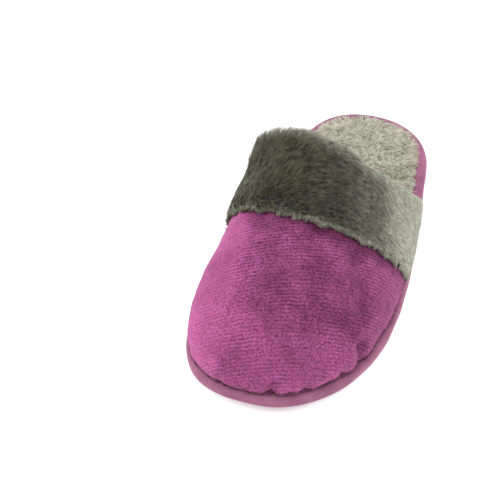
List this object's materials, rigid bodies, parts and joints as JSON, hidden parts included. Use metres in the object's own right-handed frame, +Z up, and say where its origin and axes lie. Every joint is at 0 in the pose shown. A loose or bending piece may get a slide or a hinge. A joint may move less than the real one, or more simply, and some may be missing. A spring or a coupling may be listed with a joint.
{
  "type": "indoor slipper",
  "caption": "Left backless indoor slipper: padded velour upper, turned-down fur cuff, fur footbed and fabric-wrapped platform on a thin rubber outsole.",
  "frame": {"origin": "on the floor, under the middle of the slipper's bounding box", "axes": "+Z up, the toe points along -Y and the heel along +Y, +X is the outer side of the left foot"},
  "size_m": [0.1112, 0.265, 0.0823],
  "materials": {
    "outsole_rubber": "matt rubber with moulded cross grooves",
    "wrap_suede": "mauve brushed microfibre over foam",
    "footbed_fur": "light grey beige short plush fur",
    "vamp_velour": "magenta ribbed velour, padded",
    "cuff_fur": "olive grey plush fur, tipped lighter"
  },
  "bodies": {
    "root": {"outsole": "outsole_rubber", "midsole": "wrap_suede", "insole": "footbed_fur", "upper": "vamp_velour", "cuff": "cuff_fur"}
  },
  "joints": []
}
